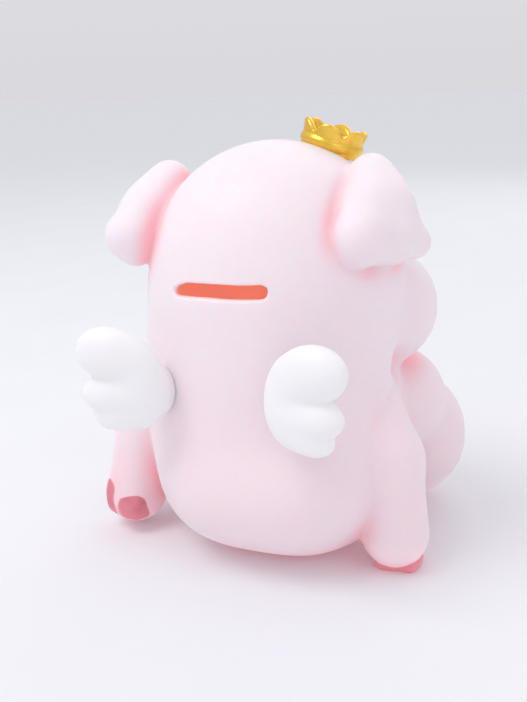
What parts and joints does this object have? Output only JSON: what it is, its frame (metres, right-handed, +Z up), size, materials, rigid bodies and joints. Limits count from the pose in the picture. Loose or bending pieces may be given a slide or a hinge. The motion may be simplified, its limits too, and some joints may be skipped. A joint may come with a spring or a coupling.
{
  "type": "coin bank",
  "caption": "Hollow soft-vinyl figural coin bank in the form of a sitting winged pig, with a coin slot in the back of the head and a pull-out stopper in the base.",
  "frame": {"origin": "bottom centre of the bank's box, on the surface it stands on", "axes": "+Z up, the pig looks along -Y, +X is the pig's left side"},
  "size_m": [0.123, 0.123, 0.147],
  "materials": {
    "skin_vinyl": "soft matt vinyl, slightly translucent",
    "wing_vinyl": "soft matt white vinyl",
    "crown_gold": "satin metallic gold paint",
    "stopper_vinyl": "soft natural vinyl"
  },
  "bodies": {
    "figure": {"body_shell": "skin_vinyl", "wing_left": "wing_vinyl", "wing_right": "wing_vinyl", "crown": "crown_gold"},
    "stopper": {"stopper": "stopper_vinyl"}
  },
  "joints": [
    {"name": "stopper_pull", "type": "slide", "parent": "figure", "child": "stopper", "axis": [0, 0, -1], "range_m": [0, 0.014]}
  ]
}
